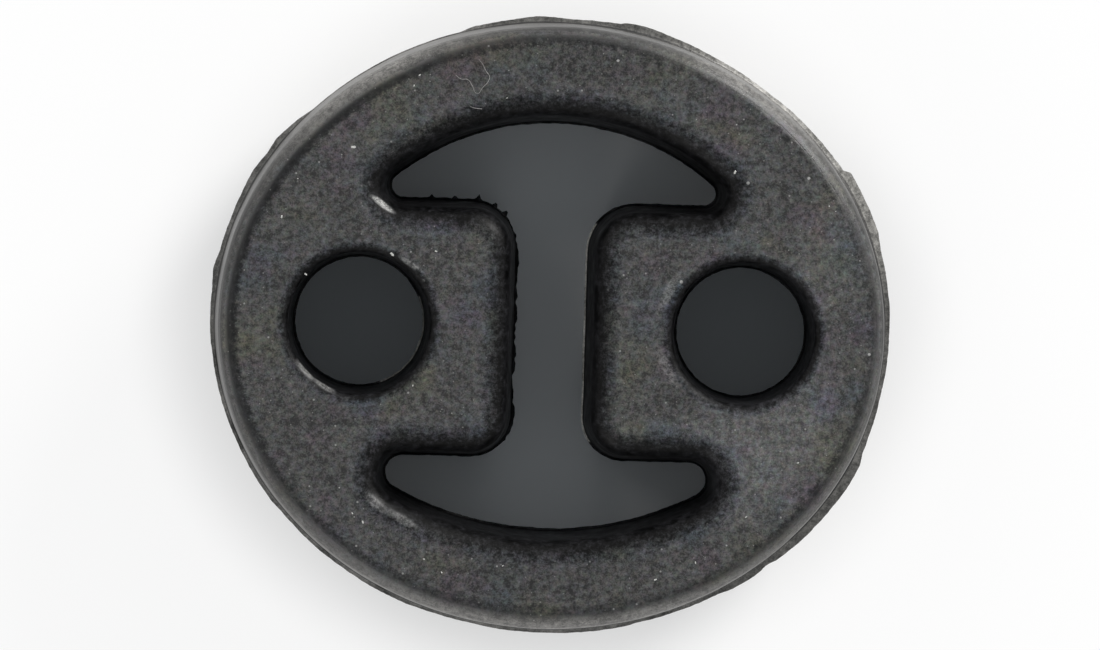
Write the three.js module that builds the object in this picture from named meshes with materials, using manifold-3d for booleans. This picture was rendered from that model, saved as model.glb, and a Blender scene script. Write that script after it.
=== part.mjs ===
// Rubber exhaust hanger, moulded in one piece.
//
// An oval block hangs a silencer under a car. A rod on the floor pan goes through one round hole and a rod on the
// silencer through the other. Between them an I-shaped slot runs through the whole block, so that the two halves
// hang from each other by the bands of rubber above and below the slot's arms, and bump together across its stem.
//
// The mould closes at half the thickness. Every wall draws back from that parting plane towards both faces, each
// edge is rounded, and a thin skin of flash stands where the mould halves met.
//
// The part lies flat. X runs through both rod holes, Y across them and Z up from the face that it lies on, with the
// origin under the middle of the block. Lengths are in millimetres and angles in degrees.

import * as THREE from "three";
import { mergeVertices } from "three/addons/utils/BufferGeometryUtils.js";
import Module from "manifold-3d";

// The block, measured at the parting plane
const thickness = 18;
const bodyLength = 63.2;
const bodyWidth = 57.2;
const bodyDraft = 3;
const bodyEdgeRadius = 2;

// The rod holes
const holeSpacing = 36;
const holeDiameter = 12.4;
const holeDraft = 3;
const holeMouthRadius = 0.9;

// The slot: a straight stem between two arms, each with a straight inner edge and an arched outer one
const stemWidth = 6.8;
const slotDraft = 4.5;
const slotMouthRadius = 2.1;
// Each arm: the rubber band left outside it, its depth on the centre line, the radii of its arch and its tips, and
// that of the corner where it meets the stem, as seen on the face
const upperArm = { band: 9.3, depth: 7.7, archRadius: 23.5, tipRadius: 1.3, cornerRadius: 1.8 };
const lowerArm = { band: 9.3, depth: 6.95, archRadius: 30.7, tipRadius: 1.8, cornerRadius: 1.3 };

// Flash at the parting plane
const flashRootThickness = 0.8;
const flashTipThickness = 0.3;
const flashReachInside = 0.2; // into the holes and the slot
// The torn edge outside the block runs straight from corner to corner: angles round from +X, and reach past the block
const flashCorners = [
  { angle: 0, reach: 0.48 },
  { angle: 12, reach: 0.67 },
  { angle: 18, reach: 0.97 },
  { angle: 29, reach: 1.05 },
  { angle: 31, reach: 0.57 },
  { angle: 50, reach: 0.35 },
  { angle: 60, reach: 0.47 },
  { angle: 74, reach: 0.88 },
  { angle: 79, reach: 0.52 },
  { angle: 87, reach: 0.42 },
  { angle: 94, reach: 0.64 },
  { angle: 98, reach: 0.45 },
  { angle: 107, reach: 0.3 },
  { angle: 109, reach: 0.1 },
  { angle: 140, reach: 0.08 },
  { angle: 147, reach: 0.63 },
  { angle: 164, reach: 0.44 },
  { angle: 172, reach: 0.68 },
  { angle: 176, reach: 0.47 },
  { angle: 189, reach: 0.35 },
  { angle: 240, reach: 0.42 },
  { angle: 256, reach: 0.3 },
  { angle: 286, reach: 0.48 },
  { angle: 304, reach: 0.5 },
  { angle: 307, reach: 0.7 },
  { angle: 333, reach: 1.1 },
  { angle: 338, reach: 1 },
  { angle: 341, reach: 0.65 },
  { angle: 350, reach: 0.47 },
];

// How finely curves are cut into facets
const bodySteps = 132;
const holeSteps = 40;
const roundSteps = 4; // along a rounded edge
const cornerSteps = 8;
const tipSteps = 8;
const halfArchSteps = 8;

const cutterOverrun = 1; // how far a cutter passes the faces
const partingHeight = thickness / 2;

const wasm = await Module();
wasm.setup();

// The block's oval outline at the parting plane, as points with their outward directions.
function bodyOutline() {
  const outline = [];
  for (let i = 0; i < bodySteps; i++) {
    const angle = (i / bodySteps) * 2 * Math.PI;
    const point = new THREE.Vector2((bodyLength / 2) * Math.cos(angle), (bodyWidth / 2) * Math.sin(angle));
    const outward = new THREE.Vector2(Math.cos(angle) / bodyLength, Math.sin(angle) / bodyWidth).normalize();
    outline.push({ point, outward });
  }
  return outline;
}

// A rod hole's outline at the parting plane.
function holeOutline(centreX) {
  const outline = [];
  for (let i = 0; i < holeSteps; i++) {
    const outward = new THREE.Vector2(1, 0).rotateAround(new THREE.Vector2(), (i / holeSteps) * 2 * Math.PI);
    const point = outward.clone().multiplyScalar(holeDiameter / 2).add(new THREE.Vector2(centreX, 0));
    outline.push({ point, outward });
  }
  return outline;
}

// Points along one arc of the slot's outline. On a hollow arc the slot lies outside the circle.
function arcOutline(centre, radius, fromAngle, toAngle, steps, hollow = false) {
  const outline = [];
  for (let i = 0; i <= steps; i++) {
    const angle = fromAngle + ((toAngle - fromAngle) * i) / steps;
    const ray = new THREE.Vector2(Math.cos(angle), Math.sin(angle));
    const point = ray.clone().multiplyScalar(radius).add(centre);
    outline.push({ point, outward: hollow ? ray.negate() : ray });
  }
  return outline;
}

// Half of an arm of the slot at the parting plane, from the stem round the tip to the middle of the arch.
function halfArm({ band, depth, archRadius, tipRadius, cornerRadius }) {
  const outerY = bodyWidth / 2 - band;
  const innerY = outerY - depth;
  const corner = cornerRadius + wallRun(slotDraft, slotMouthRadius).atFace;
  const cornerCentre = new THREE.Vector2(stemWidth / 2 + corner, innerY - corner);
  const archCentre = new THREE.Vector2(0, outerY - archRadius);
  const tipY = innerY + tipRadius;
  const tipCentre = new THREE.Vector2(Math.sqrt((archRadius - tipRadius) ** 2 - (tipY - archCentre.y) ** 2), tipY);
  const tipEnd = tipCentre.clone().sub(archCentre).angle();
  return [
    ...arcOutline(cornerCentre, corner, Math.PI, Math.PI / 2, cornerSteps, true),
    ...arcOutline(tipCentre, tipRadius, -Math.PI / 2, tipEnd, tipSteps),
    ...arcOutline(archCentre, archRadius, tipEnd, Math.PI / 2, halfArchSteps).slice(1),
  ];
}

function mirrored(outline, x, y) {
  const mirror = new THREE.Vector2(x, y);
  return outline.map(({ point, outward }) => ({
    point: point.clone().multiply(mirror),
    outward: outward.clone().multiply(mirror),
  }));
}

// The slot's outline at the parting plane, anticlockwise from the stem's right side.
function slotOutline() {
  const upper = halfArm(upperArm);
  const lower = halfArm(lowerArm);
  return [
    ...upper,
    ...mirrored(upper, -1, 1).reverse().slice(1),
    ...mirrored(lower, -1, -1),
    ...mirrored(lower, 1, -1).reverse().slice(1),
  ];
}

// How far a wall with this draft and edge radius draws back from the parting plane: at the foot of its rounded
// edge, and on the face.
function wallRun(draft, radius) {
  const slope = THREE.MathUtils.degToRad(draft);
  const footHeight = radius * (1 - Math.sin(slope));
  const atFoot = (partingHeight - footHeight) * Math.tan(slope);
  return { atFoot, atFace: atFoot + radius * Math.cos(slope), footAngle: Math.PI / 2 - slope };
}

// A wall's levels from the lower face to the upper one. Each says how far the rubber draws back there, and what
// share of the flash stands out there.
function wallLevels(draft, radius) {
  const { atFace, footAngle } = wallRun(draft, radius);
  const lower = [];
  for (let i = 0; i <= roundSteps; i++) {
    const turn = (footAngle * i) / roundSteps;
    lower.push({ z: radius * (1 - Math.cos(turn)), back: atFace - radius * Math.sin(turn), flash: 0 });
  }
  const rootZ = partingHeight - flashRootThickness / 2;
  const rootBack = (flashRootThickness / 2) * Math.tan(THREE.MathUtils.degToRad(draft));
  lower.push({ z: rootZ, back: rootBack, flash: 0 });
  lower.push({ z: partingHeight - flashTipThickness / 2, back: 0, flash: 1 });
  const upper = lower.map((level) => ({ ...level, z: thickness - level.z })).reverse();
  return [...lower, ...upper];
}

// How far the flash reaches past the block in the direction of a point.
function flashReachAt(point) {
  const angle = THREE.MathUtils.radToDeg(point.angle());
  const before = flashCorners.findLast((corner) => corner.angle <= angle);
  const after = flashCorners.find((corner) => corner.angle > angle) ?? { ...flashCorners[0], angle: 360 };
  return THREE.MathUtils.mapLinear(angle, before.angle, after.angle, before.reach, after.reach);
}

// A ring of points: the outline, moved outward by a distance that may differ from point to point.
function ring(outline, z, distanceAt) {
  return outline.map(({ point, outward }) => {
    const moved = point.clone().addScaledVector(outward, distanceAt(point));
    return new THREE.Vector3(moved.x, moved.y, z);
  });
}

// A closed solid through rings that are listed upward and run anticlockwise seen from above.
function loft(rings) {
  const count = rings[0].length;
  const index = [];
  for (let level = 0; level < rings.length - 1; level++) {
    for (let i = 0; i < count; i++) {
      const here = level * count + i;
      const next = level * count + ((i + 1) % count);
      index.push(here, next, next + count, here, next + count, here + count);
    }
  }
  const lastRing = (rings.length - 1) * count;
  const capOf = (points) => THREE.ShapeUtils.triangulateShape(points.map((p) => new THREE.Vector2(p.x, p.y)), []);
  for (const [a, b, c] of capOf(rings[0])) index.push(c, b, a);
  for (const [a, b, c] of capOf(rings.at(-1))) index.push(lastRing + a, lastRing + b, lastRing + c);
  const geometry = new THREE.BufferGeometry().setFromPoints(rings.flat());
  geometry.setIndex(index);
  return solidOf(geometry);
}

function solidOf(geometry) {
  const merged = mergeVertices(geometry);
  return new wasm.Manifold(
    new wasm.Mesh({
      numProp: 3,
      vertProperties: merged.attributes.position.array,
      triVerts: new Uint32Array(merged.index.array),
    }),
  );
}

function geometryOf(solid) {
  const { vertProperties, triVerts } = solid.getMesh();
  const geometry = new THREE.BufferGeometry();
  geometry.setAttribute("position", new THREE.BufferAttribute(new Float32Array(vertProperties), 3));
  geometry.setIndex(new THREE.BufferAttribute(new Uint32Array(triVerts), 1));
  geometry.computeVertexNormals();
  return geometry;
}

// The block without its openings.
function block() {
  const outline = bodyOutline();
  return loft(
    wallLevels(bodyDraft, bodyEdgeRadius).map((level) =>
      ring(outline, level.z, (point) => level.flash * flashReachAt(point) - level.back),
    ),
  );
}

// What is taken out for an opening with this outline: it widens towards both faces and passes them.
function opening(outline, draft, mouthRadius) {
  const levels = wallLevels(draft, mouthRadius);
  const below = { ...levels[0], z: -cutterOverrun };
  const above = { ...levels.at(-1), z: thickness + cutterOverrun };
  return loft(
    [below, ...levels, above].map((level) =>
      ring(outline, level.z, () => level.back - level.flash * flashReachInside),
    ),
  );
}

function hangerBody() {
  const rubber = new THREE.MeshStandardMaterial({ color: 0x3a3a39, roughness: 0.72, metalness: 0 });
  let solid = block().subtract(opening(slotOutline(), slotDraft, slotMouthRadius));
  for (const side of [-1, 1]) {
    solid = solid.subtract(opening(holeOutline((side * holeSpacing) / 2), holeDraft, holeMouthRadius));
  }
  const mesh = new THREE.Mesh(geometryOf(solid), rubber);
  mesh.name = "hanger_body";
  return mesh;
}

const hanger = new THREE.Group();
hanger.name = "exhaust_hanger";
hanger.add(hangerBody());

export default hanger;
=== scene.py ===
# Rubber exhaust hanger lying flat on a pale floor, seen from straight above.
import math
import bpy
import numpy as np
from mathutils import Matrix, Vector, noise
from mathutils.geometry import delaunay_2d_cdt


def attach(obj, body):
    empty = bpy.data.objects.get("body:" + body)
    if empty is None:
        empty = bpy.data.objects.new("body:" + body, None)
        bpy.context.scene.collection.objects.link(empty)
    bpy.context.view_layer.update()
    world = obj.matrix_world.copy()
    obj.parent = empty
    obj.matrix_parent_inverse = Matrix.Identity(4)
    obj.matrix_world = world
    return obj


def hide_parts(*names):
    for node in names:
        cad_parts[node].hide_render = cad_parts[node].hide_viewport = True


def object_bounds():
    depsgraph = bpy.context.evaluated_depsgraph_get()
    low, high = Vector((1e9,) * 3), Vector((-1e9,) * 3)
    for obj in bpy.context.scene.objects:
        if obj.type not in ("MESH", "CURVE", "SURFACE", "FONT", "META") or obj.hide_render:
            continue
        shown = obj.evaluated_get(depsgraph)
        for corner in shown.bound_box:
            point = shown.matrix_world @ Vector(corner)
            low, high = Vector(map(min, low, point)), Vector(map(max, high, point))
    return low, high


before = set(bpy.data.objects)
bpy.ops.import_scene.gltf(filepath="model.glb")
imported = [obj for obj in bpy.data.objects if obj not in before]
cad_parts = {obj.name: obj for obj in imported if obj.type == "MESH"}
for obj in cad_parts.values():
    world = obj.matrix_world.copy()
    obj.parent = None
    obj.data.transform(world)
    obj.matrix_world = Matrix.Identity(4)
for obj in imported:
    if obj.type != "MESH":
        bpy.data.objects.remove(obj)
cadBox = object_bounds()
print("frame loaded", [list(corner) for corner in cadBox])

scene = bpy.context.scene
scene.view_settings.view_transform = "Standard"


# Camera: a long lens nearly straight above, leaning a little to the left and to the far side

cameraSettings = {
    "target": (0.03, 0.09, 9.0),  # mm, the middle of the block
    "distance": 900.0,  # mm
    "frameWidth": 103.8,  # mm across the picture at the target
    "leanLeft": 1.2,  # degrees
    "leanBack": 1.5,
    "roll": 1.7,
    "sensorWidth": 36.0,
    "clip": (0.05, 20.0),  # m
}


def makeCamera(settings):
    target = Vector(settings["target"]) / 1000
    left = math.tan(math.radians(settings["leanLeft"]))
    back = math.tan(math.radians(settings["leanBack"]))
    place = target + Vector((-left, back, 1)).normalized() * settings["distance"] / 1000
    forward = (target - place).normalized()
    roll = math.radians(settings["roll"])
    right = forward.cross(Vector((-math.sin(roll), math.cos(roll), 0))).normalized()
    up = right.cross(forward)
    data = bpy.data.cameras.new("studioCamera")
    data.sensor_width = settings["sensorWidth"]
    data.lens = settings["sensorWidth"] * settings["distance"] / settings["frameWidth"]
    data.clip_start, data.clip_end = settings["clip"]
    camera = bpy.data.objects.new("studioCamera", data)
    turn = Matrix((right, up, -forward)).transposed()
    camera.matrix_world = Matrix.Translation(place) @ turn.to_4x4()
    scene.collection.objects.link(camera)
    scene.camera = camera


makeCamera(cameraSettings)
print("camera set")


# Shader maths: a Wire is a socket that can be added, multiplied and so on, and a Paint is one material

class Wire:
    def __init__(self, paint, socket):
        self.paint = paint
        self.socket = socket

    def maths(self, operation, first, second):
        return self.paint.node("ShaderNodeMath", {"operation": operation}, {0: first, 1: second})

    def __add__(self, other):
        return self.maths("ADD", self, other)

    def __radd__(self, other):
        return self.maths("ADD", other, self)

    def __sub__(self, other):
        return self.maths("SUBTRACT", self, other)

    def __rsub__(self, other):
        return self.maths("SUBTRACT", other, self)

    def __mul__(self, other):
        return self.maths("MULTIPLY", self, other)

    def __rmul__(self, other):
        return self.maths("MULTIPLY", other, self)

    def __gt__(self, other):
        return self.maths("GREATER_THAN", self, other)

    def atLeast(self, least):
        return self.maths("MAXIMUM", self, least)


class Paint:
    def __init__(self, name, owner=None):
        self.owner = owner or bpy.data.materials.new(name)
        self.owner.use_nodes = True
        self.tree = self.owner.node_tree
        self.tree.nodes.clear()

    def node(self, kind, settings=None, sockets=None, output=0):
        made = self.tree.nodes.new(kind)
        for name, value in (settings or {}).items():
            if name == "stops":
                self.setStops(made.color_ramp, value)
            else:
                setattr(made, name, value)
        for name, value in (sockets or {}).items():
            socket = made.inputs[name]
            if isinstance(value, Wire):
                self.tree.links.new(value.socket, socket)
            else:
                socket.default_value = value[:3] if socket.type == "VECTOR" else value
        return Wire(self, made.outputs[output]) if made.outputs else None

    def setStops(self, ramp, stops):  # place, strength, colour; the strongest comes out as 1
        strongest = max(stop[1] for stop in stops)
        for number, (place, strength, colour) in enumerate(stops):
            element = ramp.elements[number] if number < 2 else ramp.elements.new(place)
            element.position = place
            element.color = [part * strength / strongest for part in colour] + [1]

    def millimetres(self):
        place = self.node("ShaderNodeTexCoord", output="Object")
        return self.node("ShaderNodeVectorMath", {"operation": "SCALE"}, {0: place, "Scale": 1000.0})

    def shifted(self, place, distance):
        return self.node("ShaderNodeVectorMath", {"operation": "ADD"}, {0: place, 1: (distance,) * 3})

    def share(self, name):  # a share that the mesh carries at each point
        return self.node("ShaderNodeAttribute", {"attribute_name": name}, output="Fac")

    def grain(self, place, size, detail=2.0, roughness=0.5):  # size in mm, 0 to 1 around a half
        sockets = {"Vector": place, "Scale": 1 / size, "Detail": detail, "Roughness": roughness}
        return self.node("ShaderNodeTexNoise", None, sockets)

    def between(self, value, low, high, lowOut=0.0, highOut=1.0):  # a smooth step
        sockets = {"Value": value, "From Min": low, "From Max": high, "To Min": lowOut, "To Max": highOut}
        return self.node("ShaderNodeMapRange", {"interpolation_type": "SMOOTHSTEP"}, sockets)

    def blend(self, factor, first, second, mode="MIX"):  # colours
        return self.node("ShaderNodeMix", {"data_type": "RGBA", "blend_type": mode},
                         {0: factor, 6: first, 7: second}, output=2)

    def mixNumber(self, factor, first, second):
        return self.node("ShaderNodeMix", {"data_type": "FLOAT"}, {0: factor, 2: first, 3: second})

    def scaled(self, colour, factor):  # a colour or vector times a number
        return self.node("ShaderNodeVectorMath", {"operation": "SCALE"}, {0: colour, "Scale": factor})

    def bearing(self, place):  # round the block from its right side, 0 to 1
        x = self.node("ShaderNodeSeparateXYZ", None, {"Vector": place}, "X")
        y = self.node("ShaderNodeSeparateXYZ", None, {"Vector": place}, "Y")
        turn = self.node("ShaderNodeMath", {"operation": "ARCTAN2"}, {0: y, 1: x}) * (1 / (2 * math.pi))
        return self.node("ShaderNodeMath", {"operation": "FRACT"}, {0: turn})

    def patch(self, place, centre, turn, size):  # 1 in the middle of a soft oval patch, 0 at its edge
        sockets = {"Vector": place, "Location": centre, "Rotation": (0, 0, math.radians(turn)),
                   "Scale": [length / 2 for length in size]}
        local = self.node("ShaderNodeMapping", {"vector_type": "TEXTURE"}, sockets)
        return self.node("ShaderNodeTexGradient", {"gradient_type": "SPHERICAL"}, {"Vector": local}, "Fac")

    def finish(self, shader):
        self.node("ShaderNodeOutputMaterial", None, {"Surface": shader})
        return self.owner


# The block: one mesh with all the form of the moulding, and a fine skin of flash where the mould closed

blockForm = {  # mm and degrees, at the parting plane unless it says otherwise
    "thickness": 18.0,
    "length": 63.2,
    "width": 57.2,
    "draft": 3.0,
    "edgeRadius": 2.0,
    "holeSpacing": 36.0,
    "holeDiameter": 12.4,
    "holeDraft": 3.0,
    "holeMouthRadius": 0.9,
    "stemWidth": 6.8,
    "slotDraft": 4.5,
    "slotMouthRadius": 2.1,
    "upperArm": {"band": 9.3, "depth": 7.7, "archRadius": 23.5, "tipRadius": 1.3, "cornerRadius": 1.8},
    "lowerArm": {"band": 9.3, "depth": 6.95, "archRadius": 30.7, "tipRadius": 1.8, "cornerRadius": 1.3},
    "outsideSpacing": 0.28,  # between points along the outlines
    "openingSpacing": 0.19,
    "faceSpacing": 0.7,  # between points on the faces
    "nudge": 0.25,  # how far these are nudged out of line, as a share of their spacing
    "nudgeSeed": 1,
    "clear": 0.45,  # how far they stay from the rings, as such a share
    "roundSteps": 10,
    "wallSteps": 6,
    "faceRings": (0.1, 0.22, 0.35, 0.5),  # rings of points round each mouth, as shares of its radius
    "sink": 0.08,  # how deep the faces dip here and there
    "sinkRun": 2.5,  # how far from its edge a face dips fully
    "broadDips": (41.0, 0.07),  # patterns of noise: a layer of it, and its waves to the mm
    "narrowDips": (43.0, 0.25),
    "waviness": 0.03,  # of the walls
    "waves": 0.3,  # to the mm
    "smoothUpTo": 50.0,  # degrees between facets
}

skinForm = {  # the flash
    "rootThickness": 0.5,
    "tipThickness": 0.1,
    "steps": (0.1, 0.5, 1),  # shares of its reach
    "taper": 0.6,  # how thick it starts, as a share of what the root has over the tip
    "raggedness": 0.04,
    "raggedFrom": 0.3,  # a shorter reach is less ragged
    "coarse": (3.0, 0.4),  # patterns of noise: a layer of it, and its waves to the mm
    "fine": (11.0, 2.6),
    "insideCoarse": (21.0, 0.35),
    "insideFine": (27.0, 1.9),
    "droop": 0.2,  # how far the skin curls up and down
    "curl": (31.0, 0.5),
    # its torn edge runs straight between these: degrees round the block, reach past it
    "corners": [(0, 0.47), (12, 0.66), (14.5, 0.7), (17.5, 0.96), (28.6, 1.04), (29.4, 0.56), (36, 0.5),
                (48, 0.36), (60, 0.46), (70, 0.71), (73.6, 0.88), (77.6, 0.74), (78.4, 0.52), (87, 0.42),
                (94, 0.64), (98, 0.47), (106.5, 0.31), (108.5, 0.1), (119, 0.11), (139.5, 0.07),
                (142, 0.3), (147.5, 0.65), (150, 0.48), (154, 0.62), (163, 0.44), (169, 0.46), (171.6, 0.69),
                (175.5, 0.47), (189, 0.34), (206, 0.36), (214, 0.44), (216, 0.34), (241, 0.42), (256, 0.29),
                (271, 0.42), (286, 0.48), (288, 0.36), (304, 0.5), (306.5, 0.69), (312, 0.75), (314, 0.62),
                (316, 0.82), (323, 0.94), (333, 1.08), (337.6, 1.04), (339.6, 0.72), (350, 0.47)],
    "least": 0.02,  # reach
    "inside": 0.2,
    "insideRaggedness": 0.05,
    "tornRaggedness": 0.17,  # down the left side of the stem
    # torn hairs: x, y, length, half width
    "hairs": [(-11.47, 11.6, 0.3, 0.25), (-9.29, 11.6, 0.35, 0.22), (-7.1, 11.53, 0.5, 0.25),
              (-5.6, 11.0, 0.5, 0.24), (-4.71, 10.3, 0.6, 0.22)],
    "stemSide": (2.8, 4.2),  # how far from the middle the flash of the stem's sides lies
    "stemHalf": 11.0,  # and how far up and down from it
    "paleStem": 0.9,  # how strong its painted light is down the right side of the stem
    "paleHole": 0.7,  # and at the lower right of the left hole
    "paleHoleSpan": (-1.2, 0.4),  # radians round that hole
}


def ovalOutline(length, width, spacing):
    count = round(math.pi * (length + width) / 2 / spacing)
    outline = []
    for i in range(count):
        angle = 2 * math.pi * i / count
        outward = Vector((math.cos(angle) / length, math.sin(angle) / width)).normalized()
        outline.append((Vector((length / 2 * math.cos(angle), width / 2 * math.sin(angle))), outward))
    return outline


def arcOutline(centre, radius, start, end, spacing, hollow=False):
    count = max(4, round(abs(end - start) * radius / spacing))
    outline = []
    for i in range(count + 1):
        angle = start + (end - start) * i / count
        ray = Vector((math.cos(angle), math.sin(angle)))
        outline.append((centre + ray * radius, -ray if hollow else ray))
    return outline


def lineOutline(first, last, spacing):  # the points between two ends, running anticlockwise
    along = last - first
    count = max(1, round(along.length / spacing))
    outward = Vector((along.y, -along.x)).normalized()
    return [(first + along * i / count, outward) for i in range(1, count)]


# How far a wall draws back up to the face, and the angle that its rounded edge turns
def wallRun(form, draft, radius):
    slope = math.radians(draft)
    foot = radius * (1 - math.sin(slope))
    atFoot = (form["thickness"] / 2 - foot) * math.tan(slope)
    return atFoot + radius * math.cos(slope), math.pi / 2 - slope


def halfArm(form, arm):
    outerY = form["width"] / 2 - arm["band"]
    innerY = outerY - arm["depth"]
    corner = arm["cornerRadius"] + wallRun(form, form["slotDraft"], form["slotMouthRadius"])[0]
    cornerCentre = Vector((form["stemWidth"] / 2 + corner, innerY - corner))
    archCentre = Vector((0, outerY - arm["archRadius"]))
    tipY = innerY + arm["tipRadius"]
    tipX = math.sqrt((arm["archRadius"] - arm["tipRadius"]) ** 2 - (tipY - archCentre.y) ** 2)
    tipCentre = Vector((tipX, tipY))
    tipEnd = math.atan2(tipY - archCentre.y, tipX)
    spacing = form["openingSpacing"]
    cornerArc = arcOutline(cornerCentre, corner, math.pi, math.pi / 2, spacing, True)
    tipArc = arcOutline(tipCentre, arm["tipRadius"], -math.pi / 2, tipEnd, spacing)
    arch = arcOutline(archCentre, arm["archRadius"], tipEnd, math.pi / 2, spacing)[1:]
    stem = lineOutline(Vector((form["stemWidth"] / 2, 0)), cornerArc[0][0], spacing)
    edge = lineOutline(cornerArc[-1][0], tipArc[0][0], spacing)
    return stem + cornerArc + edge + tipArc + arch


def mirrored(outline, x, y):
    return [(Vector((point.x * x, point.y * y)), Vector((outward.x * x, outward.y * y)))
            for point, outward in outline]


def slotOutline(form):
    upper = halfArm(form, form["upperArm"])
    lower = halfArm(form, form["lowerArm"])
    right = [(Vector((form["stemWidth"] / 2, 0)), Vector((1, 0)))]
    left = mirrored(right, -1, 1)
    return (right + upper + mirrored(upper, -1, 1)[::-1][1:] + left
            + mirrored(lower, -1, -1) + mirrored(lower, 1, -1)[::-1][1:])


# The levels of a wall from the lower face up: height, draw back, share of skin and share of face, which is 0
# on the wall, 1 where its rounded edge meets the face and up to 2 further in
def wallLevels(form, draft, radius):
    atFace, footAngle = wallRun(form, draft, radius)
    lower = [(0, atFace + ring * radius, 0, 1 + ring) for ring in form["faceRings"]][::-1]
    steps = form["roundSteps"]
    for i in range(steps + 1):
        turn = footAngle * i / steps
        lower.append((radius * (1 - math.cos(turn)), atFace - radius * math.sin(turn), 0, 1 - i / steps))
    footZ = lower[-1][0]
    middle = form["thickness"] / 2
    rootZ = middle - skinForm["rootThickness"] / 2
    for i in range(1, form["wallSteps"] + 1):
        z = footZ + (rootZ - footZ) * i / form["wallSteps"]
        lower.append((z, (middle - z) * math.tan(math.radians(draft)), 0, 0))
    tipZ = middle - skinForm["tipThickness"] / 2
    for skin in skinForm["steps"]:
        lower.append((tipZ + (rootZ - tipZ) * skinForm["taper"] * (1 - skin), 0, skin, 0))
    upper = [(form["thickness"] - z, back, skin, face) for z, back, skin, face in lower][::-1]
    return lower + upper


def wobble(x, y, pattern):  # smooth noise around 0
    layer, waves = pattern
    return noise.noise(Vector((x, y, layer)) * waves)


def skinReach(point):  # how far the flash stands out past the block
    angle = math.degrees(math.atan2(point.y, point.x)) % 360
    corners = skinForm["corners"] + [(360, skinForm["corners"][0][1])]
    reach = float(np.interp(angle, [corner[0] for corner in corners], [corner[1] for corner in corners]))
    ragged = wobble(point.x, point.y, skinForm["coarse"]) + wobble(point.x, point.y, skinForm["fine"])
    ragged = ragged * skinForm["raggedness"] * min(1, reach / skinForm["raggedFrom"])
    return max(skinForm["least"], reach + ragged)


def onStem(x, y):  # whether a point of the flash is on the stem's right side, or its left one with x mirrored
    near, far = skinForm["stemSide"]
    return near < x < far and abs(y) < skinForm["stemHalf"]


def insideReach(point):  # how far the flash stands into an opening
    coarse = wobble(point.x, point.y, skinForm["insideCoarse"])
    fine = wobble(point.x, point.y, skinForm["insideFine"])
    ragged = skinForm["tornRaggedness"] if onStem(-point.x, point.y) else skinForm["insideRaggedness"]
    reach = skinForm["inside"] + ragged * (coarse + fine)
    for x, y, length, halfWidth in skinForm["hairs"]:
        away = (Vector((x, y)) - point).length
        reach += length * max(0, 1 - away / halfWidth)
    return max(skinForm["least"], reach)


def paleness(point, inside):  # of the flash: painted light where it catches the light, painted shade elsewhere in the openings
    if not inside:
        return 1
    if onStem(point.x, point.y):
        return skinForm["paleStem"]
    fromHole = point - Vector((-blockForm["holeSpacing"] / 2, 0))
    low, high = skinForm["paleHoleSpan"]
    lit = fromHole.length < blockForm["holeDiameter"] and low < math.atan2(fromHole.y, fromHole.x) < high
    return skinForm["paleHole"] if lit else 0


def faceDip(form, x, y, gap):  # how deep a face dips there, a gap away from its edge
    broad = wobble(x, y, form["broadDips"])
    narrow = wobble(x, y, form["narrowDips"])
    return form["sink"] * (0.65 + 0.35 * broad + 0.25 * narrow) * min(1, gap / form["sinkRun"])


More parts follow.
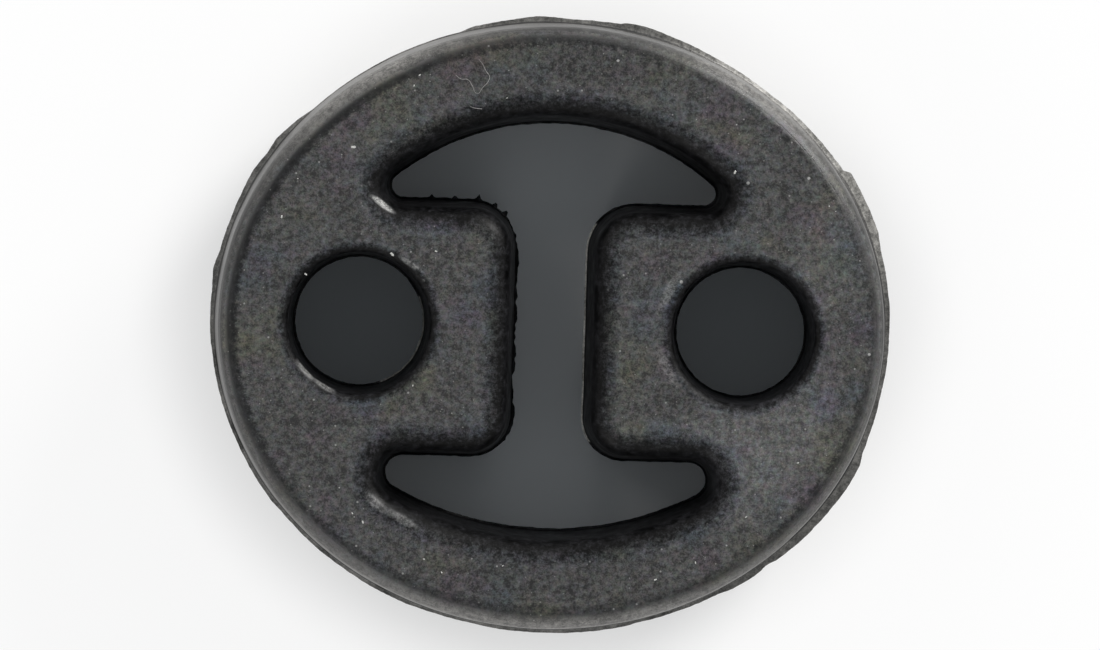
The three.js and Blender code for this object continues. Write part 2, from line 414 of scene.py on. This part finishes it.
class MeshMaker:
    def __init__(self):
        self.points = []
        self.faces = []
        self.shares = {"faceShare": [], "skinShare": [], "insideShare": [], "paleShare": []}

    def addPoint(self, x, y, z, face, skin, inside, pale=0):
        low, high = ([side * 1000 for side in corner] for corner in cadBox)
        self.points.append([min(max(value, least), most) for value, least, most in zip((x, y, z), low, high)])
        for name, value in zip(self.shares, (face, skin, inside, pale)):
            self.shares[name].append(value)
        return len(self.points) - 1

    def addWall(self, form, outline, draft, radius, reachAt, inside):
        side = -1 if inside else 1
        count = len(outline)
        levels = wallLevels(form, draft, radius)
        first = len(self.points)
        for z, back, skin, face in levels:
            for point, outward in outline:
                wave = form["waviness"] * wobble(point.x, point.y, (z, form["waves"])) * max(0, 1 - face)
                distance = side * (skin * reachAt(point) - back) + wave
                moved = point + outward * distance
                shift = 0
                if skin:
                    shift = skin * skinForm["droop"] * wobble(point.x, point.y, skinForm["curl"])
                if face > 1:
                    dip = faceDip(form, moved.x, moved.y, (face - 1) * radius)
                    shift = dip if z < form["thickness"] / 2 else -dip
                self.addPoint(moved.x, moved.y, z + shift, face, skin, inside, paleness(point, inside))
        for level in range(len(levels) - 1):
            for i in range(count):
                here = first + level * count + i
                beside = first + level * count + (i + 1) % count
                quad = (here, beside, beside + count, here + count)
                self.faces.append(quad[::-1] if inside else quad)
        last = first + (len(levels) - 1) * count
        return list(range(first, first + count)), list(range(last, last + count)), radius

    # One face between its rings of points: the block's edge first, then the mouths, each with its edge radius
    def addFace(self, form, rings, facingUp):
        edges = []
        flat = []
        numbers = []
        for loop, radius in rings:
            start = len(flat)
            flat += [Vector(self.points[i][:2]) for i in loop]
            numbers += loop
            edges += [(start + i, start + (i + 1) % len(loop)) for i in range(len(loop))]
        loops = [np.array([self.points[i][:2] for i in loop]) for loop, radius in rings]
        step = form["faceSpacing"]
        rows = np.arange(-form["width"] / 2, form["width"] / 2, step * math.sqrt(3) / 2)
        grid = []
        for number, y in enumerate(rows):
            shift = step / 2 * (number % 2)
            for x in np.arange(-form["length"] / 2 + shift, form["length"] / 2, step):
                nudge = noise.noise_vector(Vector((x, y, 5.0)) * 3.1) * step * form["nudge"]
                grid.append((x + nudge.x, y + nudge.y))
        grid = np.array(grid)
        gaps = np.array([gapsTo(grid, loop) for loop in loops])
        kept = onRubber(grid, loops) & (np.min(gaps, axis=0) > step * form["clear"])
        radii = np.array([radius for loop, radius in rings])[:, None]
        toEdge = gaps[:, kept] + radii * form["faceRings"][-1]
        nearest = np.argmin(toEdge / radii, axis=0)
        z = form["thickness"] if facingUp else 0
        for number, (x, y) in enumerate(grid[kept]):
            gap = toEdge[nearest[number], number]
            dip = faceDip(form, x, y, gap)
            face = 1 + min(1, gap / radii[nearest[number], 0])
            inside = int(nearest[number] > 0)
            numbers.append(self.addPoint(x, y, z - dip if facingUp else z + dip, face, 0, inside))
            flat.append(Vector((x, y)))
        points, _, triangles, origins, _, _ = delaunay_2d_cdt(flat, edges, [], 0, 1e-7)
        middles = np.array([sum((points[i] for i in triangle), Vector((0, 0))) / 3 for triangle in triangles])
        for triangle, isRubber in zip(triangles, onRubber(middles, loops)):
            if isRubber:
                corners = tuple(numbers[origins[i][0]] for i in triangle)
                self.faces.append(corners if facingUp else corners[::-1])

    def makeObject(self, name, material):
        mesh = bpy.data.meshes.new(name)
        mesh.from_pydata([(x / 1000, y / 1000, z / 1000) for x, y, z in self.points], [], self.faces)
        for share, values in self.shares.items():
            mesh.attributes.new(share, "FLOAT", "POINT").data.foreach_set("value", [float(v) for v in values])
        mesh.polygons.foreach_set("use_smooth", [True] * len(mesh.polygons))
        mesh.set_sharp_from_angle(angle=math.radians(blockForm["smoothUpTo"]))
        mesh.validate()
        mesh.materials.append(material)
        made = bpy.data.objects.new(name, mesh)
        scene.collection.objects.link(made)
        return made


def gapsTo(places, loop):  # how far each place lies from the nearest point of a loop
    return np.min(np.linalg.norm(places[:, None, :] - loop[None, :, :], axis=2), axis=1)


def insideLoop(places, loop):  # which places lie inside a closed loop
    start = loop
    end = np.roll(loop, -1, axis=0)
    x = places[:, 0, None]
    y = places[:, 1, None]
    straddles = (start[None, :, 1] > y) != (end[None, :, 1] > y)
    rise = end[:, 1] - start[:, 1]
    rise = np.where(rise == 0, 1e-12, rise)
    crossing = start[:, 0] + (y - start[:, 1]) / rise * (end[:, 0] - start[:, 0])
    return np.sum(straddles & (x < crossing), axis=1) % 2 == 1


def onRubber(places, loops):  # inside the block's edge and in none of its openings
    kept = insideLoop(places, loops[0])
    for loop in loops[1:]:
        kept &= ~insideLoop(places, loop)
    return kept


# Its rubber: matt and mottled with bloom on the faces, with painted shade along the outer edge and painted
# highlights on its shoulder, and painted shade that turns the openings nearly black

rubberLook = {
    "face": (0.048, 0.048, 0.0475, 1),
    "band": (0.015, 0.015, 0.0155, 1),  # painted shade: the dark band along the outer edge
    "shoulderHighlight": (0.098, 0.095, 0.09, 1),  # painted highlight colour of the steep lower part of that edge, also used dimmer for the wall under it
    # painted shade: the near-black of the walls deep in the openings
    "wall": (0.004, 0.004, 0.0045, 1),
    "skin": (0.09, 0.088, 0.083, 1),
    # painted shade on the flash: its root crease and its unlit stretches in the openings
    "shadedSkin": (0.01, 0.01, 0.01, 1),
    # painted highlight colour
    "glintColour": (0.27, 0.27, 0.26, 1),
    "dust": (0.45, 0.45, 0.44, 1),
    # the three grains of the bloom: size in mm, detail, roughness
    "mottle": (0.75, 3.0, 1.0),
    "blotch": (2.6, 2.0, 0.6),
    "cloud": (8.0, 1.0, 0.5),
    "contrast": (6.2, 1.3, 0.5),  # of each
    "thinnest": 0.25,
    # patches where the face is painted paler or darker: place in mm, turn in degrees, size in mm, strength
    "tonePatches": [((20.0, -9.5, 18.0), 60, (24.0, 17.0, 30.0), 0.75),
               ((25.0, 6.0, 18.0), 80, (22.0, 9.0, 30.0), 0.3),
               ((0.0, 26.5, 18.0), 0, (46.0, 11.0, 30.0), -0.16),
               ((0.0, -26.0, 18.0), 0, (40.0, 12.0, 30.0), -0.14)],
    "bloomGain": 0.4,  # how far such a patch strengthens the grain there
    "bloomLift": 0.6,  # and makes all of it paler
    # soft patches of olive, slate and plum: tint, size and shift of the pattern in mm, and where in its grain
    # the tint starts and is full
    "tints": [((1.06, 1.06, 0.83, 1), 8.0, 0.0, 0.5, 0.68),
              ((0.9, 1.01, 1.12, 1), 6.0, 31.0, 0.52, 0.7),
              ((1.07, 0.91, 1.06, 1), 5.0, 57.0, 0.52, 0.7)],
    "hueScale": 2.2,  # grains of other hues to the mm
    "hueContrast": 0.45,
    # the outer edge at each bearing in degrees: how strong the painted highlight on its shoulder is, how far
    # that reaches in, and how dark the painted shade of the line inside it is
    "edge": [(0, 0.12, -0.16, 0.34), (10, 0.05, -0.16, 0.34), (20, 0.1, -0.12, 0.32),
             (34, 0.4, -0.04, 0.18), (44, 1.2, 0.04, 0.1), (56, 1.25, 0.04, 0.14), (70, 0.35, -0.04, 0.26),
             (80, 0.2, -0.12, 0.42), (90, 0.15, -0.06, 0.4), (104, 0.5, 0.04, 0.34), (112, 0.85, 0.12, 0.34),
             (122, 1.4, 0.2, 0.45), (138, 1.1, 0.2, 0.5), (150, 0.5, 0.12, 0.55), (162, 0.1, 0.0, 0.55),
             (176, 0.15, -0.04, 0.55), (190, 0.2, -0.04, 0.5), (210, 0.45, -0.04, 0.36),
             (230, 0.8, 0.02, 0.26), (250, 1.3, 0.12, 0.2), (270, 1.45, 0.2, 0.12), (290, 1.4, 0.16, 0.14),
             (310, 0.9, -0.02, 0.26), (330, 0.55, -0.08, 0.34), (350, 0.3, -0.1, 0.34),
             (360, 0.12, -0.16, 0.34)],
    # a ramp holds 0 to 1, so paleness is divided by the first and reach raised by the second inside it
    "edgePacking": (2, 0.3),
    "edgeRaggedness": 0.4,
    "shoulderEnds": (0.3, 0.68),  # share of face
    "linePlace": 0.76,
    "lineFollows": 0.8,  # how far the line moves in with the shoulder's reach
    "lineStarts": (-0.22, -0.04),  # beside that place: where the line starts and is full
    "lineEnds": (0.05, 0.3),  # and where it starts to fade and ends
    "lineStrength": 1.4,
    "wallBloom": 0.3,  # paleness that the upright wall has all round
    "streaks": 0.9,  # how strongly fine lines run along the shoulder
    "streakTimes": (14, 7),  # how many there are round the block and across its edge
    "skyTintedMouth": (0.95, 0.99, 1.08, 1),  # painted reflection: the bluish tint of the sky on an opening's mouth
    "mouthEnds": (0.9, 1.6),  # share of face
    "deepEnds": (0.55, 1.25),  # where the painted shade of the openings starts to fade and ends
    "deepRaggedness": 0.5,
    "litSkin": ((22.5, 18.0, 9.0), -50, (36.0, 18.0, 14.0), 2.0),  # painted light on the flash at the upper right, paler still
    "insideSkin": 3.0,  # how much paler the painted light on the flash is in the openings
    # painted highlights on the mouths and edges: place in mm, turn in degrees, size in mm, strength
    "glints": [((-16.1, 11.15, 17.7), -35, (3.5, 0.8, 2.5), 0.85),
             ((-13.35, 5.65, 17.8), -32, (3.2, 0.7, 2.5), 0.5),
             ((-22.9, -4.5, 17.7), -48, (3.2, 0.9, 2.5), 0.5),
             ((-21.1, -5.9, 17.7), -34, (3.2, 0.9, 2.5), 0.5),
             ((-16.0, -16.75, 17.8), -40, (3.6, 1.2, 2.5), 0.35),
             ((-13.5, -18.2, 17.8), -29, (4.6, 1.1, 2.5), 0.3),
             ((10.8, 3.6, 17.8), 62, (5.6, 1.3, 2.5), 0.22),
             ((10.9, -3.4, 17.8), -62, (5.6, 1.3, 2.5), 0.22)],
    "glintBares": 1.6,  # how fast a painted highlight takes the painted shade of the openings away
    # specks of dust: one cell in mm, the share of cells left empty, largest radius in mm, strength
    "specks": [(6.0, 0.66, 0.18, 0.7), (2.2, 0.72, 0.12, 0.42), (1.0, 0.6, 0.08, 0.28)],
    "faceRoughness": 0.8,
    "edgeRoughness": 0.45,
    "wallRoughness": 0.5,
    "wallSheen": 0.13,  # specular level
    "grainDepth": 0.016,  # mm
}


def bloomTone(paint, look, place, mottle, blotch):  # how pale the bloom is, around 1
    cloud = paint.grain(place, *look["cloud"])
    ofMottle, ofBlotch, ofCloud = look["contrast"]
    tone = 1 + (mottle - 0.5) * ofMottle + (blotch - 0.5) * ofBlotch + (cloud - 0.5) * ofCloud
    tone = tone.atLeast(look["thinnest"])
    for centre, turn, size, strength in look["tonePatches"]:
        lift = paint.between(paint.patch(place, centre, turn, size), 0.0, 0.7) * strength
        tone = tone * (1 + lift * look["bloomGain"]) + lift * look["bloomLift"]
    return tone


def bloomColour(paint, look, at):
    colour = look["face"]
    for tint, size, shift, start, full in look["tints"]:
        share = paint.between(paint.grain(paint.shifted(at["place"], shift), size, 2.0, 0.6), start, full)
        colour = paint.blend(share, colour, tint, "MULTIPLY")
    sockets = {"Vector": at["place"], "Scale": look["hueScale"], "Detail": 2.0}
    hue = paint.node("ShaderNodeTexNoise", None, sockets, "Color")
    contrast = look["hueContrast"]
    hue = paint.node("ShaderNodeVectorMath", {"operation": "MULTIPLY_ADD"},
                     {0: hue, 1: (contrast,) * 3, 2: (1 - contrast / 2,) * 3})
    return paint.scaled(paint.blend(1.0, colour, hue, "MULTIPLY"), at["tone"])


def edgeAt(paint, look, bearing):  # the outer edge's painted highlight, its reach and the painted shade of its line at each bearing
    scale, shift = look["edgePacking"]
    stops = [(degrees / 360, 1.0, (pale / scale, reach + shift, lineShade))
             for degrees, pale, reach, lineShade in look["edge"]]
    edge = paint.node("ShaderNodeValToRGB", {"stops": stops}, {"Fac": bearing}, "Color")
    pale, reach, lineShade = (paint.node("ShaderNodeSeparateColor", None, {"Color": edge}, name)
                         for name in ("Red", "Green", "Blue"))
    return pale * scale, reach - shift, lineShade


# The outer edge over the bloom: a dark line of painted shade, and outside it a shoulder with a painted
# highlight and fine streaks
def edgeColour(paint, look, at, bloom):
    pale, reach, lineShade = edgeAt(paint, look, at["bearing"])
    ragged = at["face"] + (at["mottle"] - 0.5) * look["edgeRaggedness"]
    fromLine = ragged - look["linePlace"] - reach * look["lineFollows"]
    edgeShadeLine = paint.between(fromLine, *look["lineStarts"]) * (1 - paint.between(fromLine, *look["lineEnds"]))
    edgeShadeLine = edgeShadeLine * lineShade
    # painted shade: the dark line along the outer edge
    colour = paint.blend(edgeShadeLine * look["lineStrength"], bloom, look["band"])
    # painted highlight: the pale shoulder of the outer edge, strongest towards the lamps
    shoulderHighlight = 1 - paint.between(ragged - reach, *look["shoulderEnds"])
    bearingHighlight = pale * paint.between(at["face"], 0.0, 0.3, 0.7, 1.0)
    wallBloom = paint.between(at["face"], 0.0, 0.3, look["wallBloom"], 0.0)
    streaks = 1 + (at["streak"] - 0.5) * look["streaks"]
    shoulderHighlightTone = at["softTone"] * streaks * (bearingHighlight + wallBloom)
    return paint.blend(shoulderHighlight, colour, paint.scaled(look["shoulderHighlight"], shoulderHighlightTone)), edgeShadeLine


def skinOver(paint, look, at, colour):  # the flash, with painted light where it catches the light and painted shade in the crease along its root
    centre, turn, size, strength = look["litSkin"]
    lit = paint.between(paint.patch(at["place"], centre, turn, size), 0.0, 0.5)
    tone = at["softTone"] * (1 + lit * strength) * (1 + at["inside"] * look["insideSkin"])
    skinColour = paint.blend(at["pale"], look["shadedSkin"], paint.scaled(look["skin"], tone))
    # painted shade in the crease along the flash's root
    creaseShade = paint.between(at["skin"], 0.0, 0.04) * (1 - at["onSkin"]) * (1 - lit)
    colour = paint.blend(creaseShade, colour, look["shadedSkin"])
    return paint.blend(at["onSkin"], colour, skinColour)


def glintsOver(paint, look, at, colour):  # painted highlights; also says how much of the painted shade of the openings is left there
    left = 1
    for centre, turn, size, strength in look["glints"]:
        glint = paint.between(paint.patch(at["place"], centre, turn, size), 0.0, 0.6) * strength
        colour = paint.blend(glint * at["tone"], colour, look["glintColour"])
        left = left * (1 - glint * look["glintBares"]).atLeast(0.0)
    return colour, left


def specksOver(paint, look, at, colour):
    for cell, empty, radius, strength in look["specks"]:
        sockets = {"Vector": at["place"], "Scale": 1 / cell}
        away = paint.node("ShaderNodeTexVoronoi", {"voronoi_dimensions": "2D"}, sockets, "Distance")
        pick = paint.node("ShaderNodeTexVoronoi", {"voronoi_dimensions": "2D"}, sockets, "Color")
        pick = paint.node("ShaderNodeSeparateColor", None, {"Color": pick})
        size = paint.between(pick, empty, 1.0, radius * 0.35 / cell, radius / cell)
        away = away + (at["mottle"] - 0.5) * (radius * 1.2 / cell)
        speck = paint.between(size - away, 0.0, radius * 0.4 / cell) * (pick > empty) * (at["face"] > 0.6)
        colour = paint.blend(speck * strength, colour, look["dust"])
    return colour


def rubberAt(paint, look):  # what the rubber is like at each point
    place = paint.millimetres()
    at = {"place": place, "bearing": paint.bearing(place)}
    for name in ("face", "skin", "inside", "pale"):
        at[name] = paint.share(name + "Share")
    at["mottle"] = paint.grain(place, *look["mottle"])
    at["blotch"] = paint.grain(place, *look["blotch"])
    at["tone"] = bloomTone(paint, look, place, at["mottle"], at["blotch"])
    at["softTone"] = 1 + (at["tone"] - 1) * 0.7
    at["onSkin"] = paint.between(at["skin"], 0.14, 0.3)
    timesRound, timesAcross = look["streakTimes"]
    sockets = {"X": at["bearing"] * timesRound, "Y": at["face"] * timesAcross}
    around = paint.node("ShaderNodeCombineXYZ", None, sockets)
    at["streak"] = paint.node("ShaderNodeTexNoise", None, {"Vector": around, "Scale": 1.0, "Detail": 2.0})
    return at


def rubberGrain(paint, look, at):  # a fine bump, with streaks along the outer edge
    coarse = paint.grain(at["place"], 0.9, 4.0, 0.7)
    fine = paint.grain(at["place"], 0.3, 2.0, 0.6)
    onEdge = (1 - at["inside"]) * (1 - paint.between(at["face"], 0.6, 1.0))
    height = (coarse * 0.6 + fine) * (1 + onEdge) + at["streak"] * onEdge * 4.0
    sockets = {"Strength": 1.0, "Distance": look["grainDepth"] / 1000, "Height": height}
    return paint.node("ShaderNodeBump", None, sockets)


def rubberMaterial(look):
    paint = Paint("bloomed_black_rubber")
    at = rubberAt(paint, look)
    face = at["face"]
    inside = at["inside"]
    bloom = bloomColour(paint, look, at)
    outer, edgeShadeLine = edgeColour(paint, look, at, bloom)
    # painted reflection: the bluish sky tint on the openings' mouths
    skyTintedMouth = paint.blend(1 - paint.between(face, *look["mouthEnds"]), bloom, look["skyTintedMouth"], "MULTIPLY")
    colour = skinOver(paint, look, at, paint.blend(inside, outer, skyTintedMouth))
    colour, left = glintsOver(paint, look, at, colour)
    colour = specksOver(paint, look, at, colour)
    normal = rubberGrain(paint, look, at)

    edgeRoughness = look["edgeRoughness"] + (at["streak"] - 0.5) * 0.5
    roughness = paint.mixNumber(paint.between(face, 0.8, 1.3), edgeRoughness, look["faceRoughness"])
    roughness = roughness + (at["mottle"] - 0.5) * 0.2
    rubber = paint.node("ShaderNodeBsdfPrincipled", None,
                        {"Base Color": colour, "Roughness": roughness, "Normal": normal})
    # painted shade: the near-black colour of the walls in the openings
    wallColour = paint.scaled(look["wall"], at["tone"] * at["tone"])
    wallRoughness = look["wallRoughness"] + (at["blotch"] - 0.5) * 0.6
    wall = paint.node("ShaderNodeBsdfPrincipled", None,
                      {"Base Color": wallColour, "Roughness": wallRoughness, "Normal": normal,
                       "Specular IOR Level": look["wallSheen"]})
    # painted shade: the openings are painted near black from their mouths down, and the dark line along the
    # outer edge takes that dark, low-sheen shader too
    ragged = face + (at["mottle"] - 0.5) * look["deepRaggedness"]
    openingShade = inside * (1 - paint.between(ragged, *look["deepEnds"])) * (1 - at["onSkin"] * at["pale"])
    openingShade = openingShade * left
    shadeShare = openingShade + (1 - inside) * edgeShadeLine
    return paint.finish(paint.node("ShaderNodeMixShader", None, {0: shadeShare, 1: rubber, 2: wall}))


def makeBlock(form):
    noise.seed_set(form["nudgeSeed"])
    maker = MeshMaker()
    outside = ovalOutline(form["length"], form["width"], form["outsideSpacing"])
    slot = slotOutline(form)
    walls = [maker.addWall(form, outside, form["draft"], form["edgeRadius"], skinReach, 0),
             maker.addWall(form, slot, form["slotDraft"], form["slotMouthRadius"], insideReach, 1)]
    for side in (-1, 1):
        hole = ovalOutline(form["holeDiameter"], form["holeDiameter"], form["openingSpacing"])
        hole = [(point + Vector((side * form["holeSpacing"] / 2, 0)), outward) for point, outward in hole]
        walls.append(maker.addWall(form, hole, form["holeDraft"], form["holeMouthRadius"], insideReach, 1))
    maker.addFace(form, [(lower, radius) for lower, upper, radius in walls], False)
    maker.addFace(form, [(upper, radius) for lower, upper, radius in walls], True)
    block = maker.makeObject("rubber_block", rubberMaterial(rubberLook))
    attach(block, "root")
    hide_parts("hanger_body")
    print("block made", len(block.data.polygons), "faces")


makeBlock(blockForm)


# What lies on the upper face: a few pale flecks of grit pressed into it, and a thread of lint

dustForm = {  # mm
    "colour": (0.5, 0.5, 0.48, 1),
    "lintColour": (0.24, 0.235, 0.23, 1),
    "roughness": 0.85,
    "grainSize": 0.2,
    # x, y, radius
    "flecks": [(-19.0, 16.4, 0.21), (-15.1, 6.5, 0.17), (-25.5, 9.7, 0.15), (-13.0, 23.3, 0.14),
               (-11.0, 6.9, 0.12), (-17.1, -18.6, 0.15), (16.7, 15.1, 0.15), (10.4, -23.2, 0.15),
               (-23.1, 4.4, 0.12), (14.1, -21.5, 0.12), (18.7, -17.1, 0.11), (23.4, -11.9, 0.1),
               (-18.1, -17.8, 0.11), (-12.8, -5.7, 0.12), (-3.9, -22.3, 0.12), (-11.3, -21.9, 0.1),
               (-9.6, -23.1, 0.1), (-13.5, 22.3, 0.11), (-4.8, 21.4, 0.1), (-24.1, 13.3, 0.09),
               (25.6, 12.2, 0.1), (26.2, 11.7, 0.09)],
    "fleckSides": 7,
    "fleckLength": 0.45,  # how much longer than wide a fleck is, as a share of its radius
    "fleckTop": 0.6,  # how wide it is at its top, as a share of its foot
    "fleckSunk": 0.01,
    "fleckBelow": 0.002,  # how far the flecks and the lint stay below the block's highest point
    "lintBelow": 0.003,
    "lintRadius": 0.03,
    "threads": [[(-8.3, 24.8), (-7.8, 25.05), (-7.25, 24.6), (-6.8, 23.8), (-6.5, 23.4), (-6.6, 22.9),
                 (-7.1, 22.3), (-7.6, 21.75), (-8.1, 22.5), (-8.5, 23.0), (-9.15, 23.05), (-9.65, 23.4)],
                [(-8.65, 20.7), (-7.9, 20.4), (-7.1, 20.3)]],
}


def surfaceAt(x, y):  # the height of the upper face there
    return blockForm["thickness"] - faceDip(blockForm, x, y, blockForm["sinkRun"])


def dustMaterial(name, form, colour):
    paint = Paint(name)
    tone = 1 + (paint.grain(paint.millimetres(), form["grainSize"], 1.0) - 0.5) * 0.8
    sockets = {"Base Color": paint.scaled(colour, tone), "Roughness": form["roughness"]}
    return paint.finish(paint.node("ShaderNodeBsdfPrincipled", None, sockets))


def makeFlecks(form):
    points = []
    faces = []
    sides = form["fleckSides"]
    top = blockForm["thickness"] - form["fleckBelow"]
    for number, (x, y, radius) in enumerate(form["flecks"]):
        first = len(points)
        for share, z in ((1.0, surfaceAt(x, y) - form["fleckSunk"]), (form["fleckTop"], top)):
            for i in range(sides):
                angle = 2 * math.pi * i / sides + number
                long = radius * share * (1 + form["fleckLength"] * math.cos(2 * angle + number * 1.7))
                points.append((x + long * math.cos(angle), y + long * math.sin(angle), z))
        faces += [(first + i, first + (i + 1) % sides, first + sides + (i + 1) % sides, first + sides + i)
                  for i in range(sides)]
        faces.append(tuple(range(first + sides, first + 2 * sides)))
        faces.append(tuple(range(first, first + sides))[::-1])
    mesh = bpy.data.meshes.new("grit_flecks")
    mesh.from_pydata([(x / 1000, y / 1000, z / 1000) for x, y, z in points], [], faces)
    mesh.materials.append(dustMaterial("pale_grit", form, form["colour"]))
    flecks = bpy.data.objects.new("grit_flecks", mesh)
    scene.collection.objects.link(flecks)
    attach(flecks, "root")


def makeLint(form):
    curve = bpy.data.curves.new("lint_thread", "CURVE")
    curve.dimensions = "3D"
    curve.bevel_depth = form["lintRadius"] / 1000
    curve.bevel_resolution = 1
    curve.use_fill_caps = True
    highest = blockForm["thickness"] - form["lintRadius"] - form["lintBelow"]
    for thread in form["threads"]:
        spline = curve.splines.new("BEZIER")
        spline.bezier_points.add(len(thread) - 1)
        for point, (x, y) in zip(spline.bezier_points, thread):
            z = min(surfaceAt(x, y) + form["lintRadius"] * 0.5, highest)
            point.co = (x / 1000, y / 1000, z / 1000)
            point.handle_left_type = point.handle_right_type = "AUTO"
    curve.materials.append(dustMaterial("grey_lint", form, form["lintColour"]))
    lint = bpy.data.objects.new("lint_thread", curve)
    scene.collection.objects.link(lint)
    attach(lint, "root")


makeFlecks(dustForm)
makeLint(dustForm)
print("grit and lint made")


# The studio: a pale floor, a soft sky that is brightest low down, and three wide lamps

studioLook = {
    "floorSize": 6.0,  # m
    "floorColour": (0.97, 0.97, 0.97, 1),
    "floorUnder": 0.97,  # how far out the block covers it, as a share of the block's half length and width
    "floorWhite": (0.42, 0.82),  # how far the floor shows as plain white, beside the block and away from it
    "whiteFrom": 1.3,  # how far out that is, as such a share
    # the sky's strength at each height, from 0 at the horizon to 1 overhead, and its colour
    "sky": [(0.0, 1.6, (1.0, 0.985, 0.965)), (0.25, 1.15, (1.0, 0.985, 0.965)),
            (0.5, 0.75, (0.97, 0.985, 1.0)), (0.85, 0.26, (0.88, 0.95, 1.0)), (1.0, 0.24, (0.84, 0.93, 1.0))],
    "lampColour": (1.0, 0.985, 0.965),
    # each lamp: bearing and height in degrees, distance and width in m, watts
    "lamps": [("keyLamp", 47, 22, 0.9, 0.4, 7.5), ("leftLamp", 140, 36, 0.9, 0.45, 1.2),
              ("nearLamp", 235, 30, 0.9, 0.45, 1.3)],
}


def makeSky(look):
    sky = Paint("softSky", bpy.data.worlds.new("softSky"))
    direction = sky.node("ShaderNodeTexCoord", output="Generated")
    height = sky.node("ShaderNodeSeparateXYZ", None, {"Vector": direction}, "Z")
    ramp = sky.node("ShaderNodeValToRGB", {"stops": look["sky"]}, {"Fac": height}, "Color")
    strength = max(stop[1] for stop in look["sky"])
    background = sky.node("ShaderNodeBackground", None, {"Color": ramp, "Strength": strength})
    sky.node("ShaderNodeOutputWorld", None, {"Surface": background})
    scene.world = sky.owner


def makeFloor(look):
    # the floor keeps the shade beside and under the block, and away from it shows as white as paper
    paint = Paint("pale_floor")
    plain = paint.node("ShaderNodeBsdfDiffuse", None, {"Color": look["floorColour"]})
    white = paint.node("ShaderNodeEmission", None, {"Color": (1, 1, 1, 1), "Strength": 1.0})
    shares = (2 / blockForm["length"], 2 / blockForm["width"], 0)
    place = paint.node("ShaderNodeVectorMath", {"operation": "MULTIPLY"}, {0: paint.millimetres(), 1: shares})
    out = paint.node("ShaderNodeVectorMath", {"operation": "LENGTH"}, {0: place}, "Value")
    seen = [paint.node("ShaderNodeLightPath", output=name)
            for name in ("Is Camera Ray", "Is Glossy Ray", "Is Transmission Ray")]
    beside, away = look["floorWhite"]
    share = paint.between(out, 1.0, look["whiteFrom"], beside, away) * (out > look["floorUnder"])
    share = share * (seen[0] + seen[1] + seen[2])
    shader = paint.node("ShaderNodeMixShader", None, {0: share, 1: plain, 2: white})
    half = look["floorSize"] / 2
    corners = [(-half, -half, 0), (half, -half, 0), (half, half, 0), (-half, half, 0)]
    mesh = bpy.data.meshes.new("floor")
    mesh.from_pydata(corners, [], [(0, 1, 2, 3)])
    mesh.materials.append(paint.finish(shader))
    floor = bpy.data.objects.new("floor", mesh)
    scene.collection.objects.link(floor)


def makeLamps(look):
    for name, bearing, height, distance, width, watts in look["lamps"]:
        data = bpy.data.lights.new(name, "AREA")
        data.shape = "DISK"
        data.size = width
        data.energy = watts
        data.color = look["lampColour"]
        lamp = bpy.data.objects.new(name, data)
        across = math.cos(math.radians(height)) * distance
        place = Vector((across * math.cos(math.radians(bearing)), across * math.sin(math.radians(bearing)),
                        math.sin(math.radians(height)) * distance))
        lamp.matrix_world = Matrix.Translation(place) @ place.to_track_quat("Z", "Y").to_matrix().to_4x4()
        scene.collection.objects.link(lamp)


makeSky(studioLook)
makeFloor(studioLook)
makeLamps(studioLook)
print("studio made")
